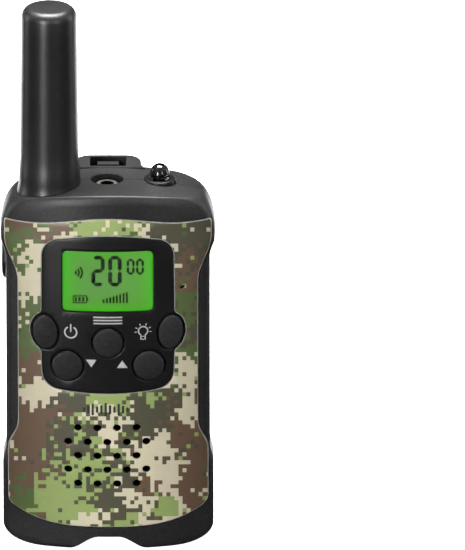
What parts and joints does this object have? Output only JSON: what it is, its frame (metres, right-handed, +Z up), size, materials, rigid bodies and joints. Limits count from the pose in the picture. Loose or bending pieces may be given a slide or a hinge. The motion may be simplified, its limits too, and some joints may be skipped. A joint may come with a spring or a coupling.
{
  "type": "toy walkie talkie",
  "caption": "Toy walkie talkie handset with pixel-camouflage front, backlit display, press keys, speaker grille, stub aerial, torch lamp, belt clip and sliding battery door.",
  "frame": {"origin": "centre of the underside of the feet: the middle of the whole object's box, at its lowest face", "axes": "+Z up along the handset to the aerial's tip, +X to the right seen from the front, +Y to the back, so the display faces -Y"},
  "size_m": [0.0556, 0.0338, 0.1463],
  "materials": {
    "casing_plastic": "fine spark-textured black ABS",
    "camouflage": "satin in-mould pixel camouflage print in five colours",
    "panel_plastic": "satin black moulding",
    "clear_plastic": "clear polished acrylic",
    "display_glass": "backlit green liquid-crystal display",
    "white_plastic": "white moulding",
    "key_rubber": "matt black silicone rubber",
    "nickel": "nickel plate",
    "steel": "plain steel",
    "copper": "copper wire",
    "circuit_board": "green solder mask on glass-epoxy board",
    "cell_wrap": "plain shrink sleeve over a steel can",
    "dark_cloth": "fine black dust cloth",
    "paper": "pressed paper"
  },
  "bodies": {
    "handset": {"front_shell": "casing_plastic", "rear_shell": "casing_plastic", "antenna_cover": "casing_plastic", "led_bezel": "casing_plastic", "camo_faceplate": "camouflage", "control_panel": "panel_plastic", "display_lens": "clear_plastic", "led_lamp": "clear_plastic", "keypad_mat": "key_rubber", "jack_bushing": "nickel", "antenna_core": "white_plastic", "antenna_coil": "copper", "lcd_glass": "display_glass", "lcd_backlight": "white_plastic", "main_board": "circuit_board", "rf_shield": "steel", "microphone": "steel", "jack_socket": "panel_plastic", "ptt_switch": "panel_plastic", "speaker_cloth": "dark_cloth", "speaker_frame": "steel", "speaker_magnet": "steel", "speaker_cone": "paper", "battery_1": "cell_wrap", "contact_spring_1": "nickel", "contact_plate_1": "nickel", "battery_2": "cell_wrap", "contact_spring_2": "nickel", "contact_plate_2": "nickel", "battery_3": "cell_wrap", "contact_spring_3": "nickel", "contact_plate_3": "nickel", "screw_lower_left": "steel", "screw_lower_right": "steel", "screw_upper_left": "steel", "screw_upper_right": "steel"},
    "menu_button": {"menu_button": "key_rubber"},
    "down_button": {"down_button": "key_rubber"},
    "up_button": {"up_button": "key_rubber"},
    "power_button": {"power_button": "key_rubber"},
    "lamp_button": {"lamp_button": "key_rubber"},
    "ptt_button": {"ptt_button": "panel_plastic"},
    "belt_clip": {"belt_clip": "casing_plastic"},
    "battery_door": {"battery_door": "casing_plastic"}
  },
  "joints": [
    {"name": "menu_button_press", "type": "slide", "parent": "handset", "child": "menu_button", "axis": [0, 1, 0], "range_m": [0, 0.0008], "stiffness_N_per_m": 900, "springref_m": -0.0003},
    {"name": "down_button_press", "type": "slide", "parent": "handset", "child": "down_button", "axis": [0, 1, 0], "range_m": [0, 0.0008], "stiffness_N_per_m": 900, "springref_m": -0.0003},
    {"name": "up_button_press", "type": "slide", "parent": "handset", "child": "up_button", "axis": [0, 1, 0], "range_m": [0, 0.0008], "stiffness_N_per_m": 900, "springref_m": -0.0003},
    {"name": "power_button_press", "type": "slide", "parent": "handset", "child": "power_button", "axis": [0, 1, 0], "range_m": [0, 0.0008], "stiffness_N_per_m": 900, "springref_m": -0.0003},
    {"name": "lamp_button_press", "type": "slide", "parent": "handset", "child": "lamp_button", "axis": [0, 1, 0], "range_m": [0, 0.0008], "stiffness_N_per_m": 900, "springref_m": -0.0003},
    {"name": "ptt_button_press", "type": "slide", "parent": "handset", "child": "ptt_button", "axis": [1, 0, 0], "range_m": [0, 0.0009], "stiffness_N_per_m": 1200, "springref_m": -0.0003},
    {"name": "belt_clip_slide", "type": "slide", "parent": "handset", "child": "belt_clip", "axis": [0, 0, -1], "range_m": [0, 0.028]},
    {"name": "battery_door_slide", "type": "slide", "parent": "handset", "child": "battery_door", "axis": [0, 0, -1], "range_m": [0, 0.064]}
  ]
}
